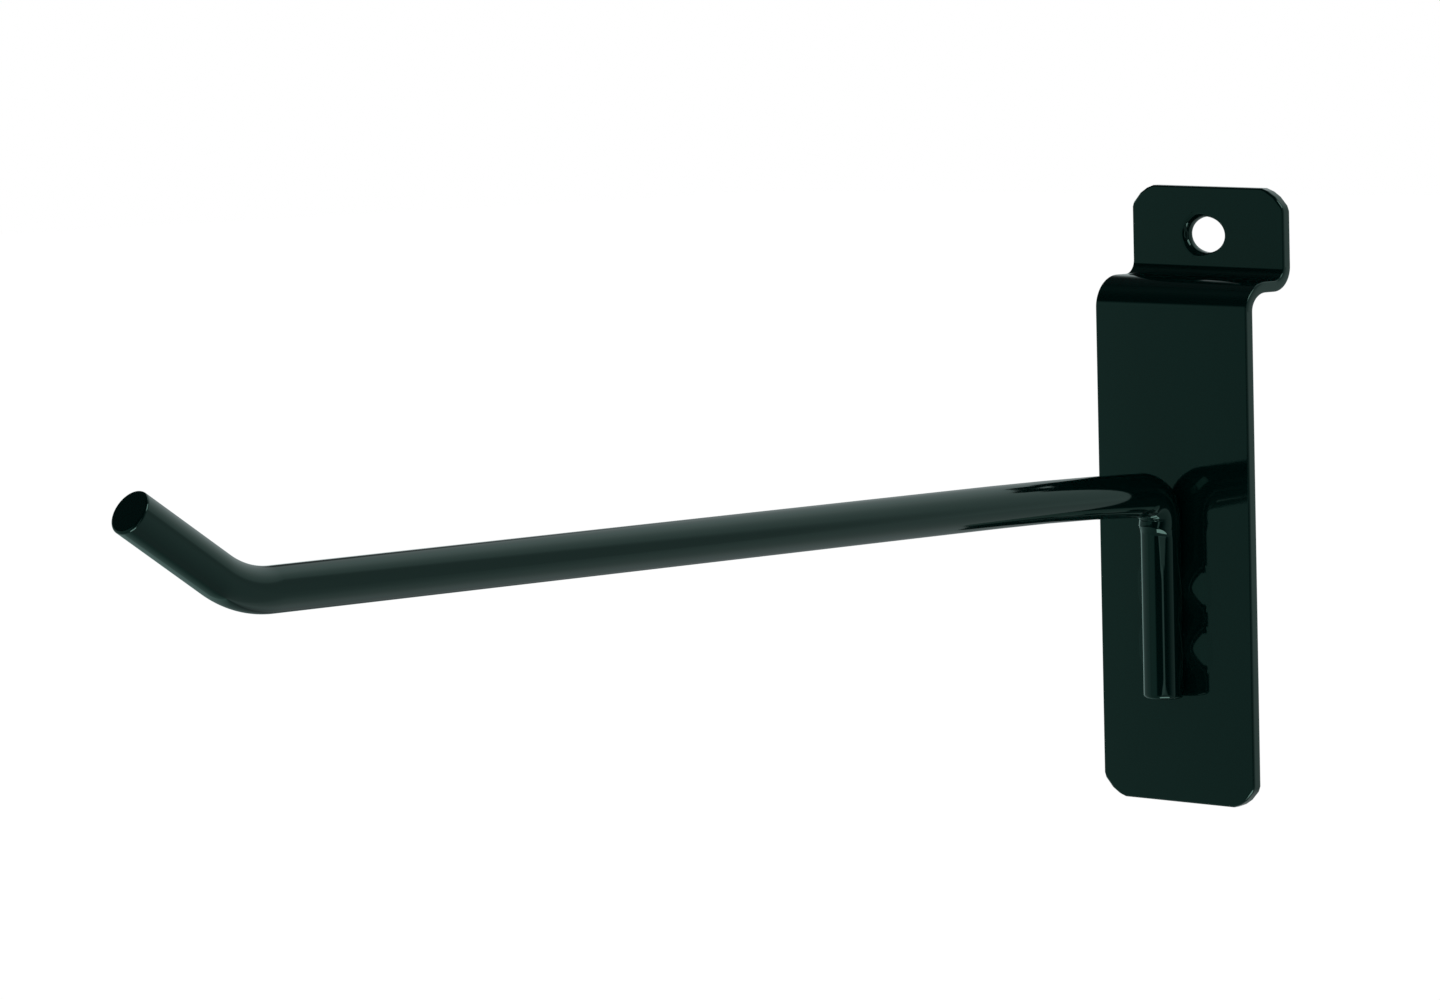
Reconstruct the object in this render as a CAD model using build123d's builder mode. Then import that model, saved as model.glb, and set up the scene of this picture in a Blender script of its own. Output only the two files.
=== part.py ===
from build123d import *
from math import cos, radians, sin
import os

os.makedirs("parts", exist_ok=True)

# Frame of the hook, in millimetres
# The wall's face is the plane Y = 0, +Y goes into the wall and +Z is up.
# The origin lies on the back of the plate, at the height of the arm's axis.

# Sheet of the back plate
sheet_thickness = 1.7
plate_width = 30.0
plate_drop = 47.9             # arm's axis down to the plate's lower edge
shelf_height = 31.7           # arm's axis up to the top of the shelf
tongue_height = 13.6          # top of the shelf up to the tongue's upper edge
lip_gap = 7.2                 # wall's face back to the front of the tongue
lower_bend_inside = 3.2       # inside radius where the plate turns into the shelf
upper_bend_inside = 2.0       # inside radius where the shelf turns into the tongue
corner_cut_across = 2.5       # width of each cut corner
corner_cut_up = 2.95          # height of each cut corner
corner_end_radius = 5.5       # blends a cut corner into the upper or lower edge
corner_side_radius = 1.2      # blends a cut corner into the side edge
sheet_edge_radius = 0.3       # soft, coated edge of the sheet

# Screw slot in the tongue
slot_length = 7.6
slot_height = 5.4
slot_drop = 7.3               # tongue's upper edge down to the slot's axis
slot_shift = -0.4             # the slot is punched a little left of the middle

# Wire of the hook
wire_diameter = 6.35
arm_reach = 203.0             # wall's face out to the middle of the tip's end
leg_length = 31.7             # arm's axis down to the end of the leg
leg_bend_inside = 1.2         # inside radius of the tight bend at the plate
tip_angle = 33.5              # how far the tip turns up from the arm, in degrees
tip_length = 21.7             # crossing of the two axes out to the tip's end
tip_bend_radius = 16.5        # radius of the tip's bend on the wire's axis
tip_edge_radius = 0.4
leg_edge_bevel = 0.5          # the leg's end is cut off square and only bevelled

# Weld between the leg and the plate
seat_depth = 0.1              # how far the wire is flattened where it seats
press_start = 5.5             # arm's axis down to the top of the pressed stretch
press_depth = 0.4             # how far the wire's front is pressed in
press_radius = 3.4            # radius that the press leaves on the wire
weld_drop = 15.1              # arm's axis down to the upper weld
weld_pitch = 9.2              # upper weld down to the lower weld
swelling_reach = 7.4          # radius at which a swelling runs out into the plate
swelling_flank = 15.0         # radius of a swelling's hollow flank
swelling_crown = 2.0          # height that the flank would reach on its axis
swelling_height = 0.9         # height at which the crown has melted away
dimple_radius = 2.4           # dimple that is pressed into the back of each weld
dimple_depth = 0.7

# Sizes that follow from the ones above
wire_radius = wire_diameter / 2
plate_top = shelf_height + tongue_height
leg_axis = -sheet_thickness - wire_radius + seat_depth
press_axis = leg_axis + press_radius - (wire_radius - press_depth)
tip_rise = tip_length * sin(radians(tip_angle))
tip_run = tip_length * cos(radians(tip_angle))
swelling_root = sheet_thickness / 2
swelling_planes = [
    Plane(origin=(0, -sheet_thickness, height), x_dir=(1, 0, 0), z_dir=(0, 0, -1))
    for height in (-weld_drop, -weld_drop - weld_pitch)
]
dimple_sphere = (dimple_radius**2 + dimple_depth**2) / (2 * dimple_depth)


# Back plate: one strip of sheet, folded into a shelf and an upright tongue
with BuildPart() as back_plate:
    with BuildSketch(Plane.YZ):
        with BuildLine():
            FilletPolyline(
                (-sheet_thickness, -plate_drop),
                (-sheet_thickness, shelf_height),
                (lip_gap, shelf_height),
                (lip_gap, plate_top),
                radius=[lower_bend_inside + sheet_thickness, upper_bend_inside],
            )
            offset(amount=sheet_thickness, side=Side.RIGHT)
        make_face()
    extrude(amount=plate_width / 2, both=True)

    # The strip's outline seen from the front, with its four cut corners
    with BuildSketch(Plane.XZ):
        with BuildLine():
            FilletPolyline(
                (0, plate_top),
                (plate_width / 2 - corner_cut_across, plate_top),
                (plate_width / 2, plate_top - corner_cut_up),
                (plate_width / 2, corner_cut_up - plate_drop),
                (plate_width / 2 - corner_cut_across, -plate_drop),
                (0, -plate_drop),
                radius=[
                    corner_end_radius,
                    corner_side_radius,
                    corner_side_radius,
                    corner_end_radius,
                ],
            )
            mirror(about=Plane.YZ)
        make_face()
    extrude(amount=lip_gap + 2 * sheet_thickness, both=True, mode=Mode.INTERSECT)

    # Every edge of the two broad sides is softened, but not the lines where bends start
    bend_lines = back_plate.edges().filter_by(lambda edge: abs(edge.length - plate_width) < 1e-3)
    cut_lines = back_plate.edges().filter_by(Axis.Y).filter_by(
        lambda edge: abs(edge.center().Z - shelf_height) > sheet_thickness + upper_bend_inside
    )
    fillet(back_plate.edges() - bend_lines - cut_lines, radius=sheet_edge_radius)

    # Screw slot, with its length across the tongue and the softer rim that the punch leaves in front
    with BuildSketch(Plane.XZ):
        with Locations((slot_shift, plate_top - slot_drop)):
            SlotOverall(slot_length, slot_height)
    extrude(amount=-(lip_gap + 2 * sheet_thickness), mode=Mode.SUBTRACT)
    tongue_front = back_plate.faces().filter_by(Plane.XZ).filter_by(
        lambda face: abs(face.center().Y - lip_gap) < 1e-3
    )
    fillet(tongue_front.face().inner_wires()[0].edges(), radius=sheet_edge_radius)

    # Two low swellings rise around the welds, each with a dimple behind it
    for swelling in swelling_planes:
        with BuildSketch(swelling):
            with BuildLine():
                flank = RadiusArc((swelling_reach, 0), (0, swelling_crown), swelling_flank)
                Polyline(flank @ 1, (0, -swelling_root), (swelling_reach, -swelling_root), flank @ 0)
            make_face()
            with Locations((0, -swelling_root)):
                Rectangle(
                    swelling_reach,
                    swelling_root + swelling_height,
                    align=Align.MIN,
                    mode=Mode.INTERSECT,
                )
        revolve(axis=Axis(swelling.origin, (0, 1, 0)))
        with Locations(swelling.origin + (0, sheet_thickness + dimple_sphere - dimple_depth, 0)):
            Sphere(dimple_sphere, mode=Mode.SUBTRACT)

back_plate.part.label = "back_plate"


# Hook: one wire, bent tight into a leg at the plate and gently up at the tip
with BuildPart() as hook_rod:
    with BuildLine(Plane.YZ) as wire_axis:
        FilletPolyline(
            (leg_axis, -leg_length),
            (leg_axis, 0),
            (tip_run - arm_reach, 0),
            (-arm_reach, tip_rise),
            radius=[leg_bend_inside + wire_radius, tip_bend_radius],
        )
    with BuildSketch(Plane(origin=(0, leg_axis, -leg_length), z_dir=(0, 0, 1))):
        Circle(wire_radius)
    sweep(path=wire_axis.line)
    wire_ends = hook_rod.edges().filter_by(GeomType.CIRCLE).filter_by(
        lambda edge: abs(edge.radius - wire_radius) < 1e-3
    )
    fillet(wire_ends.sort_by(Axis.Y)[0], radius=tip_edge_radius)
    chamfer(wire_ends.sort_by(Axis.Z)[0], length=leg_edge_bevel)

    # The press leaves a slightly flatter round on the front of the leg
    with BuildSketch(Plane.XY.offset(-press_start)):
        with Locations((0, leg_axis)):
            Rectangle(2 * wire_diameter, 2 * wire_diameter)
        with Locations((0, press_axis)):
            Circle(press_radius, mode=Mode.SUBTRACT)
    extrude(amount=press_start - leg_length, mode=Mode.SUBTRACT)

    # The leg is flattened onto the plate and melted over the two swellings
    add(back_plate.part, mode=Mode.SUBTRACT)

hook_rod.part.label = "hook_rod"

export_step(back_plate.part, "parts/back_plate.step")
export_step(hook_rod.part, "parts/hook_rod.step")
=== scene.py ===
from math import atan2, cos, exp, hypot, pi, radians, sin, sqrt, tan

import bmesh
import bpy
from bpy.props import FloatProperty, FloatVectorProperty, IntProperty, PointerProperty
from mathutils import Matrix, Vector


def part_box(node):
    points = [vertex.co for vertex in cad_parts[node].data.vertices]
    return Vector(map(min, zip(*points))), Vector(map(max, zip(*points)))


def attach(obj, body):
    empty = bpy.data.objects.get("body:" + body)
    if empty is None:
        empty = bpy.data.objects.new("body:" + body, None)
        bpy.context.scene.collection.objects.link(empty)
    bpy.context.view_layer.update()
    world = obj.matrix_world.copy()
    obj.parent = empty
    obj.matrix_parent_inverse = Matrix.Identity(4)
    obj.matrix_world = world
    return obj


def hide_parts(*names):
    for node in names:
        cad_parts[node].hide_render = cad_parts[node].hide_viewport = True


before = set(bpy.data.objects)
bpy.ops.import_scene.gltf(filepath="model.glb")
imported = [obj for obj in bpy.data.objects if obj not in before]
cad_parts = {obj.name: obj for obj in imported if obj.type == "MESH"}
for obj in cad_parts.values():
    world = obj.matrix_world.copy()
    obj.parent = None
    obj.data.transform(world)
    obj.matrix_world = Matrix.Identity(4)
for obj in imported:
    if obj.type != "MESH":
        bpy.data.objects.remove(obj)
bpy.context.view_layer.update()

bl_info = {
    "name": "Slatwall hook",
    "version": (1, 0, 0),
    "blender": (4, 5, 0),
    "location": "3D View > Sidebar > Slatwall hook",
    "description": "Builds a slatwall hook from bent wire and folded sheet, with its gloss coat and a studio",
    "category": "Add Mesh",
}

MM = 0.001

# Tolerances
SAME = 0.001 * MM             # two places nearer than this count as one
MERGED = 0.0005 * MM          # vertices nearer than this are merged
ON_FRONT = 0.01 * MM          # an edge's middle nearer than this to the sheet's front lies in it
FACING = 1e-4                 # how much less than 1 a normal's Y may be on a flat front or back
SHARP = radians(40)           # edges sharper than this are softened
SMOOTH = radians(35)          # edges sharper than this are shaded sharp

# Sheet
FOLD_STEPS = 24               # steps of each of the sheet's two bends
CORNER_STEPS = 36             # steps of a quarter turn along a cut corner's outline
PUNCH_SIDES = 96
PUNCH_LENGTH = 4              # length of the punch, in thicknesses of the sheet
EDGE_STEPS = 5                # steps over a softened edge
SLOT_FIELD = 0.6              # the slot's rim lies within this many slot lengths of its middle
SLOT_ROLL = 0.6               # share of the slot's roll at the middle of its length
WELD_CUTS = 95                # cuts across and up through the sheet around the welds
VALLEY_BLEND = 0.05 * MM      # blend where the two swellings meet
CROWN_BLEND = 0.1 * MM        # blend where a flank meets the melted crown
DIMPLE_BLEND = 0.08 * MM      # blend where a dimple meets the back of the plate
DIMPLE_FIELD = 1.5            # how far the dimple's blend is looked for, in dimple radii

# Wire
LEG_STEPS = 30                # rings along the pressed stretch of the leg
LEAD_STEPS = 36               # rings where the press sinks in
LEDGE = 0.02 * MM             # height of the step from the pressed stretch to the full wire
NECK_STEPS = 8                # rings between that step and the tight bend
TIGHT_STEPS = 64              # rings round the tight bend
ARM_STEPS = 16                # rings along the arm
TIP_BEND_STEPS = 36           # rings round the tip's bend
TIP_STEPS = 2                 # rings along the tip
RIM_STEPS = 6                 # steps over the rim of each end
FLAT_FIELD = radians(60)      # how far to each side of its middle the leg's flat is looked for
WRINKLE_TURNS = 14            # radians of the wrinkles' wave for each radian of the bend
WRINKLE_SLANT = 0.5 * MM      # distance across the wire for each radian of that wave

# Studio, in metres and degrees
FLOOR_SIZE = 60
FLOOR_GLOW = 1.05             # strength of the floor's white
FLOOR_SHARE = 0.9             # share of that white for the rays that show the background
SCRIM_DISTANCE = 1.2
LAMP_DISTANCE = 0.8
LAMPS = (                     # name, degrees from +X towards +Y, degrees up, side, watts
    ("softbox_above", -20, 52, 0.4, 1.8),
    ("softbox_below", -64, -52, 0.4, 2.2),
)
CAMERA_PLACE = (0.5892, -0.6770, 0.0745)
CAMERA_YAW, CAMERA_PITCH, CAMERA_ROLL = -45.48, 4.78, -1.42
CAMERA_LENS, CAMERA_SENSOR = 148.5, 36

# Share of light that the scrims let through, by degrees from +X towards +Y
SCRIMS_BEHIND = (
    (5, 0.4), (20, 0.5), (30, 0.45), (37, 0.4), (42, 0.4), (47, 0.68), (60, 0.8), (80, 0.95),
    (100, 0.93), (115, 0.8),
)
SCRIMS_LOW = (
    (-180, 0.5), (-140, 0.3), (-110, 0.25), (-50, 0.25), (-10, 0.3), (20, 0.45), (37, 0.45),
    (47, 0.58), (60, 0.58), (80, 0.63), (100, 0.56), (110, 0.48), (122, 0.36), (132, 0.32),
    (137, 0.15), (160, 0.3), (180, 0.8),
)
SCRIMS_LEVEL = (
    (-180, 0.3), (-165, 0.33), (-150, 0.35), (-134, 0.36), (-130, 0.26), (-118, 0.3), (-98, 0.3),
    (-91, 0.01), (-60, 0.01), (-58, 0.8), (-52, 0.8), (-50, 0.01), (-36, 0.01), (-25, 0.08),
    (-12, 0.3), *SCRIMS_BEHIND, (127, 0.6), (133, 0.45), (140, 0.45), (146, 1.0), (162, 1.0),
    (180, 0.3),
)
SCRIMS_HIGH = (
    (-180, 0.02), (-161, 0.05), (-150, 0.03), (-140, 0.01), (-60, 0.01), (0, 0.3), *SCRIMS_BEHIND,
    (127, 0.66), (134, 0.6), (138, 0.15), (144, 0.03),
)
SCRIM_BLENDS = ((-18, -11), (13, 21))   # degrees up where low turns into level and level into high


def linear(hex_colour):
    """Turns an sRGB hex colour into linear red, green and blue."""
    parts = [int(hex_colour[start:start + 2], 16) / 255 for start in (1, 3, 5)]
    return [part / 12.92 if part <= 0.04045 else ((part + 0.055) / 1.055) ** 2.4 for part in parts]


def length(name, description, millimetres):
    """A length that the user can change, kept in metres."""
    return FloatProperty(
        name=name, description=description, default=millimetres * MM, unit="LENGTH", precision=5
    )


def turn(name, description, degrees):
    """An angle that the user can change, kept in radians."""
    return FloatProperty(
        name=name, description=description, default=radians(degrees), subtype="ANGLE"
    )


def factor(name, description, value):
    """A factor that the user can change."""
    return FloatProperty(
        name=name, description=description, default=value, subtype="FACTOR", min=0, soft_max=2
    )


def colour(name, description, hex_colour):
    """A colour that the user can change."""
    return FloatVectorProperty(
        name=name, description=description, default=linear(hex_colour), subtype="COLOR", min=0, max=1
    )


# The plate's box in the frame gives its width and its upper and lower edge
plate_low, plate_high = (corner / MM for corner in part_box("back_plate"))


class PlateSettings(bpy.types.PropertyGroup):
    """Sizes of the folded sheet back plate"""

    width: length("Width", "Width of the sheet strip", 2 * plate_high.x)
    lower_edge: length("Lower edge", "Height of the plate's lower edge", plate_low.z)
    upper_edge: length("Upper edge", "Height of the tongue's upper edge", plate_high.z)
    sheet: length("Sheet", "Thickness of the coated sheet", 1.7)
    shelf: length("Shelf", "Height of the shelf's top", 31.7)
    lip_gap: length("Lip gap", "Wall's face back to the front of the tongue", 7.2)
    lower_bend: length("Lower bend", "Outside radius where the plate turns into the shelf", 4.9)
    upper_bend: length("Upper bend", "Inside radius where the shelf turns into the tongue", 2.0)
    corner_across: length("Corner width", "Width of each cut corner", 2.5)
    corner_up: length("Corner height", "Height of each cut corner", 2.95)
    corner_end: length("Corner at the end", "Radius that blends a cut corner into the end's edge", 5.5)
    corner_side: length("Corner at the side", "Radius that blends a cut corner into the side edge", 1.2)
    edge: length("Edge radius", "Radius of the sheet's coated edges", 0.3)
    roll: length("Slot roll", "Radius of the slot's front rim, where the punch drew it in most", 1.15)
    corner_roll: length("Corner roll", "Radius of the front edge in the middle of a cut corner", 0.55)
    roll_reach: length("Roll reach", "Distance over which the corner roll runs out", 3.2)
    slot_length: length("Slot length", "Length of the screw slot across the tongue", 7.6)
    slot_height: length("Slot height", "Height of the screw slot", 5.4)
    slot_drop: length("Slot drop", "Tongue's upper edge down to the slot's axis", 7.3)
    slot_shift: length("Slot shift", "Slot's axis from the middle of the tongue", -0.4)
    skew: turn("Fold skew", "How far the fold runs down to the right, out of square", 1.1)
    skew_start: length("Skew start", "Height where the skew begins", 26.0)
    skew_end: length("Skew end", "Height where the skew is full", 30.0)


class WeldSettings(bpy.types.PropertyGroup):
    """Sizes of the two welds between the leg and the plate"""

    drop: length("Upper weld", "Arm's axis down to the upper weld", 15.1)
    pitch: length("Pitch", "Upper weld down to the lower one", 9.2)
    reach: length("Reach", "Radius at which a swelling runs out", 7.4)
    flank: length("Flank", "Radius of a swelling's hollow flank", 15.0)
    crown: length("Crown", "Height that the flank would reach on its axis", 2.0)
    height: length("Height", "Height at which the crown has melted away", 0.9)
    squat: factor("Squat", "How much wider than tall a swelling is", 1.2)
    dimple: length("Dimple", "Radius of the dimple behind each weld", 2.4)
    dimple_depth: length("Dimple depth", "Depth of the dimple behind each weld", 0.7)


class WireSettings(bpy.types.PropertyGroup):
    """Sizes of the bent wire"""

    diameter: length("Diameter", "Diameter of the coated wire", 6.35)
    reach: length("Reach", "Wall's face out to the middle of the tip's end", 203.0)
    leg: length("Leg", "Arm's axis down to the end of the leg", 31.7)
    leg_bend: length("Leg bend", "Radius of the tight bend on the wire's axis", 4.375)
    seat: length("Seat", "How far the wire is flattened where it seats", 0.1)
    tip: length("Tip", "Crossing of the two axes out to the tip's end", 21.7)
    tip_bend: length("Tip bend", "Radius of the tip's bend on the wire's axis", 16.5)
    tip_angle: turn("Tip angle", "How far the tip turns up", 33.5)
    tip_rim: length("Tip rim", "Radius of the rim of the tip's end", 0.4)
    leg_rim: length("Leg rim", "Radius of the rim of the leg's end", 0.6)
    press_start: length("Press start", "Arm's axis down to the top of the pressed stretch", 5.5)
    press_depth: length("Press depth", "How far the wire's front is pressed in", 0.4)
    press_radius: length("Press radius", "Radius that the press leaves on the wire", 3.4)
    press_lead: length("Press lead", "Height over which the press sinks to its depth", 1.5)
    press_lift: length("Press lift", "How much shallower the press is at its top", 0.4)
    lip: length("Lip", "Height of the lip that the press pushes up above its top", 0.14)
    lip_reach: length("Lip reach", "Height over which the slant of the lip runs out", 1.6)
    lip_slant: length("Lip slant", "How far the lip runs down to the right", 0.6)
    flat_depth: length("Flat depth", "Depth of the flat at the press's two ends", 0.07)
    flat_reach: length("Flat reach", "Height over which the upper flat runs out", 7.0)
    foot_reach: length("Foot reach", "Height over which the lower flat runs out", 2.0)
    flat_turn: turn("Flat turn", "Turn of the flat from the front", 40)
    sag: length("Sag", "How far the arm's root hangs below a straight line", 0.75)
    sag_reach: length("Sag reach", "Length of the arm over which the sag runs out", 45.0)
    squeeze: length("Squeeze", "How far the tight bend's inside was squeezed out downwards", 0.35)
    squeeze_reach: length("Squeeze reach", "Length of the arm over which the squeeze runs out", 9.0)
    wrinkle: length("Wrinkle", "Height of the wrinkles inside the tight bend", 0.05)
    facets: IntProperty(name="Facets", description="Faces around the wire", default=144, min=24)


class CoatSettings(bpy.types.PropertyGroup):
    """Colours of the gloss coat"""

    base: colour("Coat", "Colour of the coat itself", "#000A09")
    sheen: colour("Reflection", "Tint of the coat's reflection seen head on", "#C4FFF0")


class StudioSettings(bpy.types.PropertyGroup):
    """Floor and soft light"""

    floor: colour("Floor", "Colour of the floor", "#F4F4F4")
    floor_height: length("Floor height", "Height of the floor below the arm's axis", -1300.0)
    level: factor("Level", "Strength of the soft light from all round", 0.75)


# Small tools for modelling


def start_clean():
    """Leaves edit mode and deselects every object."""
    if bpy.context.object is not None and bpy.context.object.mode != "OBJECT":
        bpy.ops.object.mode_set(mode="OBJECT")
    bpy.ops.object.select_all(action="DESELECT")


def work_on(piece, mode):
    """Makes a piece the only selected one and enters a mode."""
    start_clean()
    piece.select_set(True)
    bpy.context.view_layer.objects.active = piece
    bpy.ops.object.mode_set(mode=mode)
    if mode == "EDIT":
        bpy.ops.mesh.select_mode(type="VERT")


def pick(piece, kind, test):
    """In edit mode, selects only the vertices, edges or faces that pass a test."""
    modes = {"verts": "VERT", "edges": "EDGE", "faces": "FACE"}
    bpy.ops.mesh.select_mode(type=modes[kind])
    bpy.ops.mesh.select_all(action="DESELECT")
    mesh = bmesh.from_edit_mesh(piece.data)
    mesh.faces.ensure_lookup_table()
    found = [item for item in getattr(mesh, kind) if test(item)]
    for item in found:
        item.select_set(True)
    mesh.select_flush_mode()
    bmesh.update_edit_mesh(piece.data)
    if not found:
        raise RuntimeError(f"{piece.name}: nothing was found to select among the {kind}")


def level_edge(height):
    """A test for edges whose two ends lie at a height."""
    return lambda edge: all(abs(vert.co.z - height) < SAME for vert in edge.verts)


def flat_face(depth, height):
    """A test for the flat face at a depth that holds the point at a height on the middle line."""

    def test(face):
        across = [vert.co.x for vert in face.verts]
        up = [vert.co.z for vert in face.verts]
        return (
            abs(abs(face.normal.y) - 1) < FACING
            and all(abs(vert.co.y - depth) < SAME for vert in face.verts)
            and min(across) < 0 < max(across)
            and min(up) < height < max(up)
        )

    return test


def apply_transform():
    """Moves the active object's place, turn and scale into its mesh."""
    bpy.ops.object.transform_apply(location=True, rotation=True, scale=True)


def extrude(offset, steps=1):
    """Extrudes the selection by an offset, in equal steps."""
    for _ in range(steps):
        bpy.ops.mesh.extrude_region_move(
            TRANSFORM_OT_translate={"value": [part / steps for part in offset]}
        )


def bend(angle, centre, steps):
    """Spins the selection around a line across the hook. A positive angle turns +Y towards +Z."""
    bpy.ops.mesh.spin(steps=steps, angle=-angle, center=centre, axis=(1, 0, 0))


def merge_doubled():
    """In edit mode, selects everything and merges doubled vertices."""
    bpy.ops.mesh.select_all(action="SELECT")
    bpy.ops.mesh.remove_doubles(threshold=MERGED)


def modify(piece, kind, **settings):
    """Adds a modifier with its settings and applies it."""
    work_on(piece, "OBJECT")
    modifier = piece.modifiers.new(kind.title(), kind)
    for name, value in settings.items():
        setattr(modifier, name, value)
    bpy.ops.object.modifier_apply(modifier=modifier.name)


def shape(piece, move):
    """Moves each vertex to where a function of its place says."""
    start_clean()
    for vert in piece.data.vertices:
        vert.co = move(vert.co.copy())
    piece.data.update()


def soft_most(first, second, blend):
    """The greater of two heights, rounded over where they are near each other."""
    near = max(blend - abs(first - second), 0) / blend
    return max(first, second) + near * near * blend / 4


def soft_least(first, second, blend):
    """The lesser of two heights, rounded over where they are near each other."""
    return -soft_most(-first, -second, blend)


def finish_piece(piece, name, cad_node, material):
    """Names a piece, shades it, gives it its body, slot and material, and hides the CAD node that it stands
    in for.
    """
    work_on(piece, "OBJECT")
    apply_transform()
    bpy.ops.object.shade_smooth_by_angle(angle=SMOOTH)
    modify(piece, "WEIGHTED_NORMAL", keep_sharp=True, weight=100)
    piece.name = name
    piece.data.name = name
    piece.data.materials.clear()
    piece.data.materials.append(material)
    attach(piece, "root")
    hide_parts(cad_node)


def node(tree, kind, inputs=None, **settings):
    """Adds a node with its settings, and sets or links its inputs."""
    made = tree.nodes.new(kind)
    for name, value in settings.items():
        setattr(made, name, value)
    for socket, value in (inputs or {}).items():
        if isinstance(value, bpy.types.NodeSocket):
            tree.links.new(value, made.inputs[socket])
        else:
            made.inputs[socket].default_value = value
    return made


def empty_tree(owner):
    """Starts the node tree of a material or world with nothing in it."""
    owner.use_nodes = True
    owner.node_tree.nodes.clear()
    return owner.node_tree


def gloss_coat():
    """Baked gloss coat on steel: a smooth film that mirrors the studio over a nearly black ground."""
    name = "baked_gloss_coat_on_steel"
    if name in bpy.data.materials:
        return bpy.data.materials[name]
    coat = bpy.context.scene.hook_coat
    material = bpy.data.materials.new(name)
    tree = empty_tree(material)
    point = node(tree, "ShaderNodeTexCoord").outputs["Object"]
    # Faint waves that the coat keeps when it flows out, 2 mm from crest to crest
    waves = node(tree, "ShaderNodeTexNoise", {"Vector": point, "Scale": 500.0, "Detail": 1.0})
    relief = node(
        tree,
        "ShaderNodeBump",
        {"Height": waves.outputs["Fac"], "Strength": 1.0, "Distance": 0.0006 * MM},
    )
    # The gloss varies a little over 10 mm, as on any baked coat
    patches = node(tree, "ShaderNodeTexNoise", {"Vector": point, "Scale": 100.0, "Detail": 2.0})
    gloss = node(
        tree,
        "ShaderNodeMapRange",
        {"Value": patches.outputs["Fac"], "From Min": 0.3, "From Max": 0.7, "To Min": 0.05, "To Max": 0.08},
    )
    shader = node(
        tree,
        "ShaderNodeBsdfPrincipled",
        {
            "Base Color": [*coat.base, 1],
            "Roughness": gloss.outputs["Result"],
            "IOR": 1.5,
            "Specular Tint": [*coat.sheen, 1],
            "Normal": relief.outputs["Normal"],
        },
    )
    node(tree, "ShaderNodeOutputMaterial", {"Surface": shader.outputs["BSDF"]})
    return material


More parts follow.
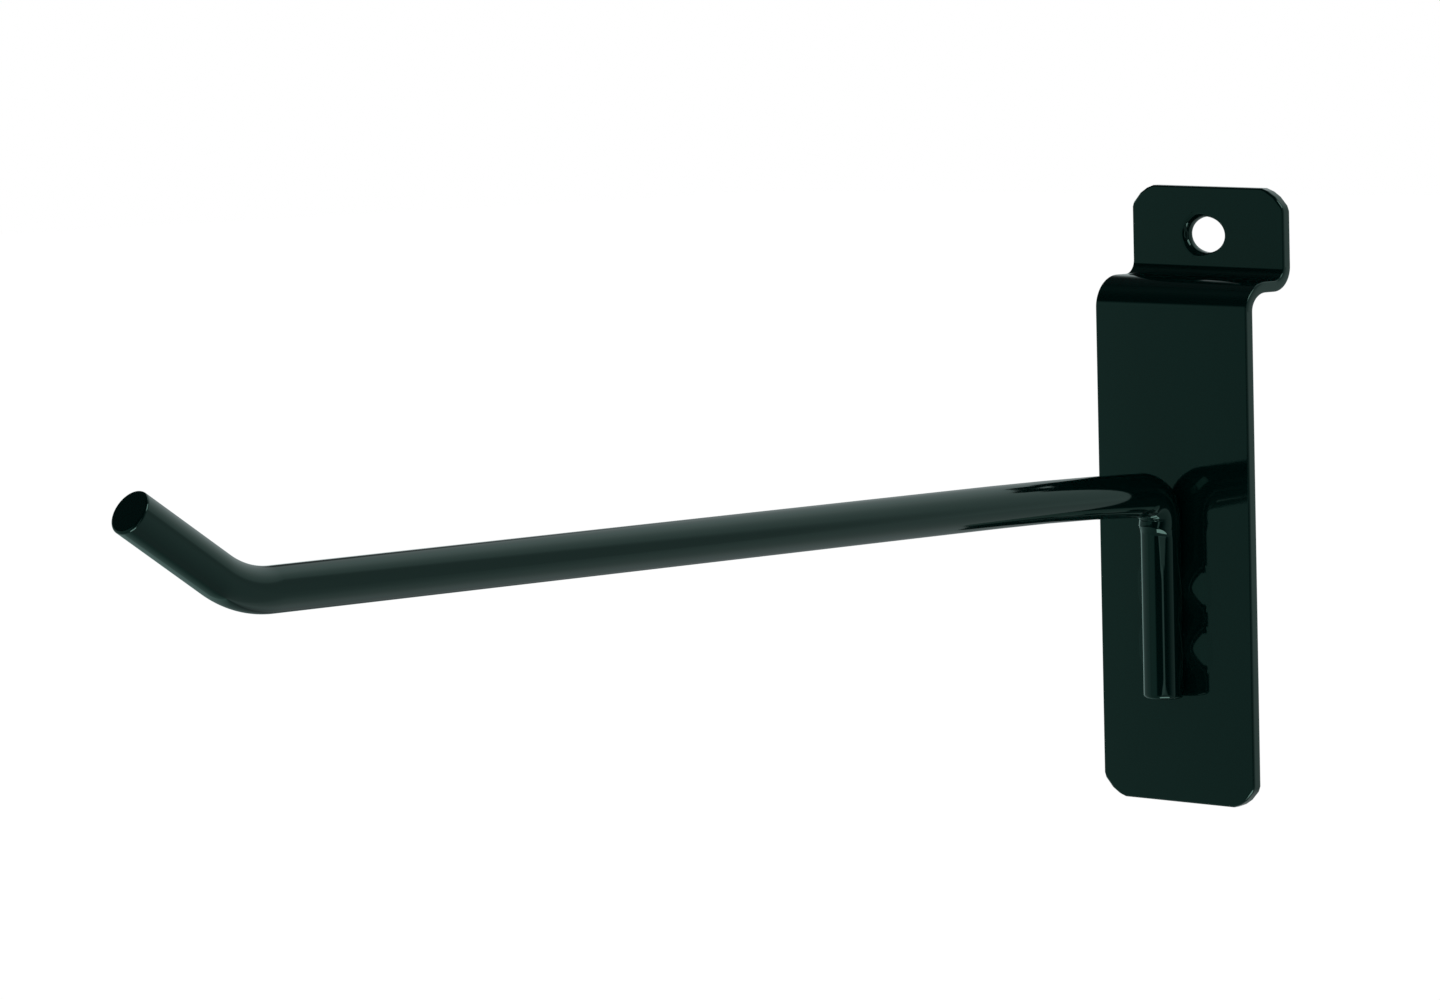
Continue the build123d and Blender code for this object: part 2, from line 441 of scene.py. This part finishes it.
class HOOK_OT_back_plate(bpy.types.Operator):
    """Fold the sheet back plate, cut its corners and slot, and raise the swellings of the two welds"""

    bl_idname = "hook.back_plate"
    bl_label = "Back plate"
    bl_options = {"REGISTER", "UNDO"}

    def execute(self, context):
        sizes = context.scene.hook_plate
        weld = context.scene.hook_weld
        plate = self.fold_strip(sizes)
        self.cut_corners(plate, sizes)
        modify(plate, "SOLIDIFY", thickness=sizes.sheet, offset=-1, use_even_offset=True)
        self.punch_slot(plate, sizes)
        self.soften_edges(plate, sizes)
        self.divide_patches(plate, sizes, weld)
        self.raise_swellings(plate, sizes, weld)
        self.skew_fold(plate, sizes)
        finish_piece(plate, "plate_folded_sheet", "back_plate", gloss_coat())
        return {"FINISHED"}

    @staticmethod
    def fold_strip(sizes):
        """Makes the front of the strip: flat plate, bend, shelf, bend and tongue."""
        front = -sizes.sheet
        lower_start = sizes.shelf - sizes.lower_bend
        lower_centre = (0, front + sizes.lower_bend, lower_start)
        upper_centre = (0, sizes.lip_gap - sizes.upper_bend, sizes.shelf + sizes.upper_bend)
        start_clean()
        bpy.ops.mesh.primitive_plane_add(
            size=1,
            location=(0, front, (sizes.lower_edge + lower_start) / 2),
            rotation=(radians(90), 0, 0),
        )
        plate = bpy.context.object
        plate.scale = (sizes.width, lower_start - sizes.lower_edge, 1)
        apply_transform()
        work_on(plate, "EDIT")
        pick(plate, "edges", level_edge(lower_start))
        bend(radians(-90), lower_centre, FOLD_STEPS)
        extrude((0, upper_centre[1] - lower_centre[1], 0))
        bend(radians(90), upper_centre, FOLD_STEPS)
        extrude((0, 0, sizes.upper_edge - upper_centre[2]))
        merge_doubled()
        bpy.ops.mesh.normals_make_consistent(inside=False)
        mesh = bmesh.from_edit_mesh(plate.data)
        widest = max(mesh.faces, key=lambda face: face.calc_area())
        if widest.normal.y > 0:
            bpy.ops.mesh.flip_normals()
        return plate

    @staticmethod
    def cut_corners(plate, sizes):
        """Cuts the corners by planes that touch the softened outline from outside."""
        half = sizes.width / 2
        slope = atan2(sizes.corner_across, sizes.corner_up)
        at_side, at_end = sizes.corner_side, sizes.corner_end
        turns = sorted([slope, *(pi / 2 * step / CORNER_STEPS for step in range(1, CORNER_STEPS))])
        for side in (-1, 1):
            for up, edge in ((-1, sizes.lower_edge), (1, sizes.upper_edge)):
                side_centre = Vector(
                    (half - at_side, abs(edge) - sizes.corner_up - at_side * tan(slope / 2))
                )
                end_centre = Vector(
                    (half - sizes.corner_across - at_end * tan((pi / 2 - slope) / 2), abs(edge) - at_end)
                )
                for angle in turns:
                    outward = Vector((cos(angle), sin(angle)))
                    if angle <= slope:
                        touch = side_centre + at_side * outward
                    else:
                        touch = end_centre + at_end * outward
                    bpy.ops.mesh.select_all(action="SELECT")
                    bpy.ops.mesh.bisect(
                        plane_co=(side * touch.x, 0, up * touch.y),
                        plane_no=(side * outward.x, 0, up * outward.y),
                        clear_outer=True,
                    )

    @staticmethod
    def punch_slot(plate, sizes):
        """Cuts the screw slot with an oval punch, a cylinder of unit size scaled to the slot."""
        start_clean()
        bpy.ops.mesh.primitive_cylinder_add(
            vertices=PUNCH_SIDES,
            radius=0.5,
            depth=1,
            location=(sizes.slot_shift, sizes.lip_gap, sizes.upper_edge - sizes.slot_drop),
            rotation=(radians(90), 0, 0),
        )
        punch = bpy.context.object
        punch.scale = (sizes.slot_length, sizes.slot_height, PUNCH_LENGTH * sizes.sheet)
        apply_transform()
        modify(plate, "BOOLEAN", operation="DIFFERENCE", object=punch, solver="EXACT")
        bpy.data.objects.remove(punch)

    @staticmethod
    def soften_edges(plate, sizes):
        """Softens every cut edge, and rolls the front of the cut corners and of the slot over."""
        half = sizes.width / 2
        work_on(plate, "EDIT")
        mesh = bmesh.from_edit_mesh(plate.data)
        weights = mesh.edges.layers.float.new("bevel_weight_edge")
        for edge in mesh.edges:
            if len(edge.link_faces) != 2 or edge.calc_face_angle() <= SHARP:
                continue
            middle = (edge.verts[0].co + edge.verts[1].co) / 2
            on_tongue = middle.z > 0
            end = sizes.upper_edge if on_tongue else -sizes.lower_edge
            front = sizes.lip_gap if on_tongue else -sizes.sheet
            rolled = 0
            if abs(middle.y - front) < ON_FRONT:
                from_corner = hypot(
                    abs(middle.x) - (half - sizes.corner_across / 2),
                    abs(middle.z) - (end - sizes.corner_up / 2),
                )
                rolled = sizes.corner_roll / sizes.roll * (1 - (from_corner / sizes.roll_reach) ** 2)
                # The slot's roll grows from right to left
                across, up = middle.x - sizes.slot_shift, middle.z - (end - sizes.slot_drop)
                if on_tongue and hypot(across, up) < SLOT_FIELD * sizes.slot_length:
                    rolled = min(SLOT_ROLL - 2 * across / sizes.slot_length, 1)
            edge[weights] = max(rolled, sizes.edge / sizes.roll)
        bmesh.update_edit_mesh(plate.data)
        modify(
            plate,
            "BEVEL",
            width=sizes.roll,
            segments=EDGE_STEPS,
            limit_method="WEIGHT",
            use_clamp_overlap=False,
        )

    @staticmethod
    def divide_patches(plate, sizes, weld):
        """Divides the sheet around the welds into fine faces, in front and behind."""
        work_on(plate, "EDIT")
        middle = -weld.drop - weld.pitch / 2
        tall = weld.pitch / 2 + weld.reach
        for depth in (-sizes.sheet, 0):
            patch = flat_face(depth, middle)
            for place, normal in (
                ((weld.reach, 0, 0), (1, 0, 0)),
                ((-weld.reach, 0, 0), (1, 0, 0)),
                ((0, 0, middle + tall), (0, 0, 1)),
                ((0, 0, middle - tall), (0, 0, 1)),
            ):
                pick(plate, "faces", patch)
                bpy.ops.mesh.bisect(plane_co=place, plane_no=normal)
            pick(plate, "faces", patch)
            bpy.ops.mesh.subdivide(number_cuts=WELD_CUTS)

    @staticmethod
    def raise_swellings(plate, sizes, weld):
        """Raises two swellings with hollow flanks and melted crowns, each with a dimple behind it."""
        front = -sizes.sheet
        # Centre of the hollow flank's round: distance from the weld's axis, and height
        chord = hypot(weld.reach, weld.crown)
        away = sqrt(weld.flank**2 - (chord / 2) ** 2)
        flank_out = weld.reach / 2 + away * weld.crown / chord
        flank_up = weld.crown / 2 + away * weld.reach / chord
        sphere = (weld.dimple**2 + weld.dimple_depth**2) / (2 * weld.dimple_depth)

        def swell(place):
            """The place on the swellings in front or in the dimples behind."""
            in_front = abs(place.y - front) < SAME
            # The swellings in front are a little wider than tall
            squat = weld.squat if in_front else 1
            ways = [
                hypot(place.x, squat * (place.z + drop)) for drop in (weld.drop, weld.drop + weld.pitch)
            ]
            if in_front and min(ways) < weld.reach:
                rises = []
                for way in ways:
                    inside = min(way, flank_out)
                    rise = flank_up - sqrt(weld.flank**2 - (inside - flank_out) ** 2)
                    rises.append(max(rise, 0))
                place.y -= soft_least(soft_most(*rises, VALLEY_BLEND), weld.height, CROWN_BLEND)
            elif abs(place.y) < SAME and min(ways) < DIMPLE_FIELD * weld.dimple:
                depth = sqrt(sphere**2 - min(ways) ** 2) - (sphere - weld.dimple_depth)
                place.y -= soft_most(depth, 0, DIMPLE_BLEND)
            return place

        shape(plate, swell)

    @staticmethod
    def skew_fold(plate, sizes):
        """Runs shelf and tongue down to the right, as the sheet was folded a little out of square."""
        half = sizes.width / 2

        def skew(place):
            """The place after the skew, which is full above the start of the fold."""
            share = (place.z - sizes.skew_start) / (sizes.skew_end - sizes.skew_start)
            place.z -= tan(sizes.skew) * (place.x + half) * min(max(share, 0), 1)
            return place

        shape(plate, skew)


class HOOK_OT_wire(bpy.types.Operator):
    """Bend the wire into leg, arm and upturned tip, and press the leg"""

    bl_idname = "hook.wire"
    bl_label = "Wire"
    bl_options = {"REGISTER", "UNDO"}

    def execute(self, context):
        sizes = context.scene.hook_wire
        plate_front = -context.scene.hook_plate.sheet
        radius = sizes.diameter / 2
        leg_axis = plate_front - radius + sizes.seat

        def seat(place):
            """The wire lies flat on the plate."""
            if place.z < radius:
                place.y = min(place.y, plate_front)
            return place

        wire = self.bend_wire(sizes, radius, leg_axis)
        self.close_ends(wire, sizes)
        self.press_leg(wire, sizes, radius, leg_axis)
        self.settle_root(wire, sizes, radius, leg_axis)
        shape(wire, seat)
        finish_piece(wire, "rod_bent_wire", "hook_rod", gloss_coat())
        return {"FINISHED"}

    @staticmethod
    def bend_wire(sizes, radius, leg_axis):
        """Draws the round wire up the leg, round the tight bend, out along the arm and up the tip."""
        angle = sizes.tip_angle
        tip_corner = sizes.tip * cos(angle) - sizes.reach
        tip_setback = sizes.tip_bend * tan(angle / 2)
        tip_start = tip_corner + tip_setback
        start_clean()
        bpy.ops.mesh.primitive_circle_add(
            vertices=sizes.facets,
            radius=radius,
            fill_type="NOTHING",
            location=(0, leg_axis, -sizes.leg),
        )
        wire = bpy.context.object
        apply_transform()
        work_on(wire, "EDIT")
        bpy.ops.mesh.select_all(action="SELECT")

        # Rings up the leg, close together where the press starts
        lead_end = -sizes.press_start - sizes.press_lead
        extrude((0, 0, lead_end + sizes.leg), LEG_STEPS)
        extrude((0, 0, sizes.press_lead), LEAD_STEPS)
        extrude((0, 0, LEDGE))
        extrude((0, 0, sizes.press_start - LEDGE - sizes.leg_bend), NECK_STEPS)

        # The tight bend, the arm, the tip's bend and the tip
        bend(radians(90), (0, leg_axis - sizes.leg_bend, -sizes.leg_bend), TIGHT_STEPS)
        extrude((0, tip_start - leg_axis + sizes.leg_bend, 0), ARM_STEPS)
        bend(-angle, (0, tip_start, sizes.tip_bend), TIP_BEND_STEPS)
        straight = sizes.tip - tip_setback
        extrude((0, -straight * cos(angle), straight * sin(angle)), TIP_STEPS)
        return wire

    @staticmethod
    def close_ends(wire, sizes):
        """Closes the two ends, which are cut off square, and softens their rims."""
        merge_doubled()
        for on_leg, rim in ((True, sizes.leg_rim), (False, sizes.tip_rim)):
            def at_end(edge):
                return edge.is_boundary and (edge.verts[0].co.z < -sizes.leg / 2) == on_leg
            pick(wire, "edges", at_end)
            bpy.ops.mesh.edge_face_add()
            bpy.ops.mesh.bevel(offset=rim, segments=RIM_STEPS, affect="EDGES")
        bpy.ops.mesh.select_all(action="SELECT")
        bpy.ops.mesh.normals_make_consistent(inside=False)

    @staticmethod
    def press_leg(wire, sizes, radius, leg_axis):
        """Presses the front of the leg in, with a slanting lip above the pressed stretch."""
        press_back = sizes.press_radius - (radius - sizes.press_depth)

        def pressed(around):
            """Distance of the pressed surface from the wire's axis, at an angle from the front."""
            return sqrt(sizes.press_radius**2 - (press_back * sin(around)) ** 2) - press_back * cos(around)

        def press(place):
            """The place after the press."""
            x, y = place.x, place.y - leg_axis
            around = atan2(x, -y)
            above = place.z + sizes.press_start
            on_leg = place.y > leg_axis - 2 * radius
            if above < SAME and on_leg:
                out = min(pressed(around), radius)
                # The press left a flat on the right that narrows away from its two ends
                ends = (1 + above / sizes.flat_reach, 1 - (place.z + sizes.leg) / sizes.foot_reach)
                flat = sizes.flat_depth * max(*ends, 0) ** 2
                turned = around - sizes.flat_turn
                if flat > 0 and abs(turned) < FLAT_FIELD:
                    out = min(out, (pressed(sizes.flat_turn) - flat) / cos(turned))
                lead = max(1 + above / sizes.press_lead, 0)
                out = min(out + sizes.press_lift * lead**2, radius)
                place.x, place.y = x * out / radius, leg_axis + y * out / radius
            elif place.z < -sizes.leg_bend + SAME:
                # The metal that the press pushed up stands out as a small lip above it
                rest = 1 - above / (sizes.press_start - sizes.leg_bend)
                share = 1 + sizes.lip / radius * max(cos(around), 0) * rest**2
                place.x, place.y = x * share, leg_axis + y * share
            # The lip runs down to the right
            if on_leg:
                slant = sizes.lip_slant * max(sin(around), 0) ** 2
                place.z -= slant * exp(-((above / sizes.lip_reach) ** 2))
            return place

        shape(wire, press)

    @staticmethod
    def settle_root(wire, sizes, radius, leg_axis):
        """Lets the arm sag at its root, where the tight bend squeezed and wrinkled the metal inside it."""
        centre_y, centre_z = leg_axis - sizes.leg_bend, -sizes.leg_bend

        def settle(place):
            """The place after the sag, the squeeze and the wrinkles."""
            if place.z < -sizes.press_start:
                return place
            near = min(max(1 + place.y / sizes.sag_reach, 0), 1)
            if place.y < centre_y:
                from_centre = place.z - centre_z
                along = exp(-(((centre_y - place.y) / sizes.squeeze_reach) ** 2))
                turned = radians(90)
            elif place.z < centre_z:
                from_centre, turned = place.y - centre_y, 0
                along = (place.z + sizes.press_start) / (sizes.press_start - sizes.leg_bend)
            else:
                from_centre, along = hypot(place.y - centre_y, place.z - centre_z), 1
                turned = atan2(place.z - centre_z, place.y - centre_y)
            inner = min(max((sizes.leg_bend - from_centre) / radius, 0), 1)
            if 0 < turned < radians(90):
                phase = turned * WRINKLE_TURNS + place.x / WRINKLE_SLANT
                wave = sizes.wrinkle * inner**4 * sin(phase)
                place.y += wave * cos(turned)
                place.z += wave * sin(turned)
            sag = sizes.sag * near**2 * turned / radians(90)
            place.z -= sag + sizes.squeeze * inner * along
            return place

        shape(wire, settle)


class HOOK_OT_studio(bpy.types.Operator):
    """Set up the pale floor, the soft light, the scrims that show in the gloss, the lamps and the camera"""

    bl_idname = "hook.studio"
    bl_label = "Studio"
    bl_options = {"REGISTER", "UNDO"}

    def execute(self, context):
        scene = context.scene
        sizes = scene.hook_studio
        self.make_world(scene, sizes)
        self.make_floor(sizes)
        self.make_scrims()
        self.make_lamps(scene)
        self.make_camera(scene)
        scene.view_settings.view_transform = "Standard"
        return {"FINISHED"}

    @staticmethod
    def background_rays(tree):
        """1 for the rays that show the background: camera, glossy and transmission rays."""
        path = node(tree, "ShaderNodeLightPath")
        gloss = node(
            tree,
            "ShaderNodeMath",
            {0: path.outputs["Is Camera Ray"], 1: path.outputs["Is Glossy Ray"]},
            operation="ADD",
        )
        return node(
            tree,
            "ShaderNodeMath",
            {0: gloss.outputs[0], 1: path.outputs["Is Transmission Ray"]},
            operation="ADD",
            use_clamp=True,
        ).outputs[0]

    def make_world(self, scene, sizes):
        """White to look at, and an even soft light for the object."""
        scene.world = bpy.data.worlds.new("studio_surround")
        tree = empty_tree(scene.world)
        light = node(tree, "ShaderNodeBackground", {"Color": (1, 1, 1, 1), "Strength": sizes.level})
        white = node(tree, "ShaderNodeBackground", {"Color": (1, 1, 1, 1), "Strength": 1.0})
        mixed = node(
            tree,
            "ShaderNodeMixShader",
            {0: self.background_rays(tree), 1: light.outputs[0], 2: white.outputs[0]},
        )
        node(tree, "ShaderNodeOutputWorld", {"Surface": mixed.outputs[0]})

    def make_floor(self, sizes):
        """A wide matt floor that looks white and keeps a faint shadow."""
        start_clean()
        bpy.ops.mesh.primitive_plane_add(size=FLOOR_SIZE, location=(0, 0, sizes.floor_height))
        floor = bpy.context.object
        floor.name = "floor"
        material = bpy.data.materials.new("matt_paper_sweep")
        tree = empty_tree(material)
        paper = node(tree, "ShaderNodeBsdfDiffuse", {"Color": [*sizes.floor, 1]})
        white = node(tree, "ShaderNodeEmission", {"Color": (1, 1, 1, 1), "Strength": FLOOR_GLOW})
        share = node(
            tree,
            "ShaderNodeMath",
            {0: self.background_rays(tree), 1: FLOOR_SHARE},
            operation="MULTIPLY",
        )
        mixed = node(
            tree,
            "ShaderNodeMixShader",
            {0: share.outputs[0], 1: paper.outputs[0], 2: white.outputs[0]},
        )
        node(tree, "ShaderNodeOutputMaterial", {"Surface": mixed.outputs[0]})
        floor.data.materials.append(material)

    def make_scrims(self):
        """Scrims round the hook that dim the white surround in its gloss, as flags do in a studio."""
        start_clean()
        bpy.ops.mesh.primitive_uv_sphere_add(segments=96, ring_count=48, radius=SCRIM_DISTANCE)
        scrims = bpy.context.object
        scrims.name = "studio_scrims"
        material = bpy.data.materials.new("grey_scrim_cloth")
        tree = empty_tree(material)
        point = node(tree, "ShaderNodeTexCoord").outputs["Object"]
        way = node(tree, "ShaderNodeVectorMath", {0: point}, operation="NORMALIZE")
        split = node(tree, "ShaderNodeSeparateXYZ", {0: way.outputs[0]})
        azimuth = node(
            tree,
            "ShaderNodeMath",
            {0: split.outputs["Y"], 1: split.outputs["X"]},
            operation="ARCTAN2",
        )
        around = node(
            tree,
            "ShaderNodeMapRange",
            {"Value": azimuth.outputs[0], "From Min": -pi, "From Max": pi},
        )
        bands = [node(tree, "ShaderNodeValToRGB", {"Fac": around.outputs[0]}) for _ in range(3)]
        for band, stops in zip(bands, (SCRIMS_LOW, SCRIMS_LEVEL, SCRIMS_HIGH)):
            self.fill_ramp(band.color_ramp, stops)
        seen = bands[0].outputs["Color"]
        for band, (start, end) in zip(bands[1:], SCRIM_BLENDS):
            share = node(
                tree,
                "ShaderNodeMapRange",
                {
                    "Value": split.outputs["Z"],
                    "From Min": sin(radians(start)),
                    "From Max": sin(radians(end)),
                },
                interpolation_type="SMOOTHSTEP",
            )
            seen = node(
                tree,
                "ShaderNodeMix",
                {"Factor": share.outputs["Result"], "A": seen, "B": band.outputs["Color"]},
                data_type="RGBA",
            ).outputs["Result"]
        scrim = node(tree, "ShaderNodeBsdfTransparent", {"Color": seen})
        node(tree, "ShaderNodeOutputMaterial", {"Surface": scrim.outputs[0]})
        scrims.data.materials.append(material)
        for ray in ("camera", "diffuse", "transmission", "volume_scatter", "shadow"):
            setattr(scrims, f"visible_{ray}", False)

    @staticmethod
    def scrim_tint(degree):
        """Tint of the scrims in a direction. Those in front are greener than those behind."""
        if degree < -60 or degree > 150:
            return (0.69, 1, 0.95)
        return (0.93, 1, 1) if degree < 100 else (0.87, 1, 1)

    def fill_ramp(self, ramp, stops):
        """Sets the stops of a ramp round the hook."""
        while len(ramp.elements) > 1:
            ramp.elements.remove(ramp.elements[-1])
        for index, (degree, value) in enumerate(stops):
            position = (degree + 180) / 360
            stop = ramp.elements[0] if index == 0 else ramp.elements.new(position)
            stop.position = position
            stop.color = [value * part for part in self.scrim_tint(degree)] + [1]

    @staticmethod
    def make_lamps(scene):
        """Square soft boxes above and below."""
        for name, azimuth, rise, side, watts in LAMPS:
            data = bpy.data.lights.new(name, "AREA")
            data.shape = "RECTANGLE"
            data.size = data.size_y = side
            data.energy = watts
            lamp = bpy.data.objects.new(name, data)
            azimuth, rise = radians(azimuth), radians(rise)
            outward = Vector((cos(rise) * cos(azimuth), cos(rise) * sin(azimuth), sin(rise)))
            lamp.location = LAMP_DISTANCE * outward
            lamp.rotation_euler = (-outward).to_track_quat("-Z", "Y").to_euler()
            lamp.visible_camera = False
            scene.collection.objects.link(lamp)

    @staticmethod
    def make_camera(scene):
        """Long lens from the front right, a little above the arm."""
        yaw, pitch, roll = radians(CAMERA_YAW), radians(CAMERA_PITCH), radians(CAMERA_ROLL)
        data = bpy.data.cameras.new("camera")
        data.lens = CAMERA_LENS
        data.sensor_width = CAMERA_SENSOR
        data.clip_start, data.clip_end = 0.01, 100
        camera = bpy.data.objects.new("camera", data)
        ahead = Vector((sin(yaw) * cos(pitch), cos(yaw) * cos(pitch), -sin(pitch)))
        right = Vector((cos(yaw), -sin(yaw), 0))
        up = right.cross(ahead)
        turned_right = cos(roll) * right + sin(roll) * up
        turned_up = cos(roll) * up - sin(roll) * right
        axes = Matrix((turned_right, turned_up, -ahead)).transposed().to_4x4()
        camera.matrix_world = Matrix.Translation(CAMERA_PLACE) @ axes
        scene.collection.objects.link(camera)
        scene.camera = camera


class HOOK_PT_panel(bpy.types.Panel):
    """Sizes, colours and pieces of the slatwall hook"""

    bl_idname = "HOOK_PT_panel"
    bl_label = "Slatwall hook"
    bl_space_type = "VIEW_3D"
    bl_region_type = "UI"
    bl_category = "Slatwall hook"

    def draw(self, context):
        for name in SETTINGS:
            group = getattr(context.scene, name)
            box = self.layout.box()
            box.label(text=group.bl_rna.description)
            for key in group.__annotations__:
                box.prop(group, key)
        for operator in OPERATORS:
            self.layout.operator(operator.bl_idname)


SETTINGS = {
    "hook_plate": PlateSettings,
    "hook_weld": WeldSettings,
    "hook_wire": WireSettings,
    "hook_coat": CoatSettings,
    "hook_studio": StudioSettings,
}
OPERATORS = (HOOK_OT_back_plate, HOOK_OT_wire, HOOK_OT_studio)


def register():
    """Registers the settings, operators and panel."""
    for name, group in SETTINGS.items():
        bpy.utils.register_class(group)
        setattr(bpy.types.Scene, name, PointerProperty(type=group))
    for made in (*OPERATORS, HOOK_PT_panel):
        bpy.utils.register_class(made)


def unregister():
    """Takes the settings, operators and panel away again."""
    for made in (HOOK_PT_panel, *reversed(OPERATORS)):
        bpy.utils.unregister_class(made)
    for name, group in reversed(SETTINGS.items()):
        delattr(bpy.types.Scene, name)
        bpy.utils.unregister_class(group)


def main():
    """Builds the hook and its studio."""
    register()
    bpy.ops.hook.back_plate()
    bpy.ops.hook.wire()
    bpy.ops.hook.studio()


if __name__ == "__main__":
    main()
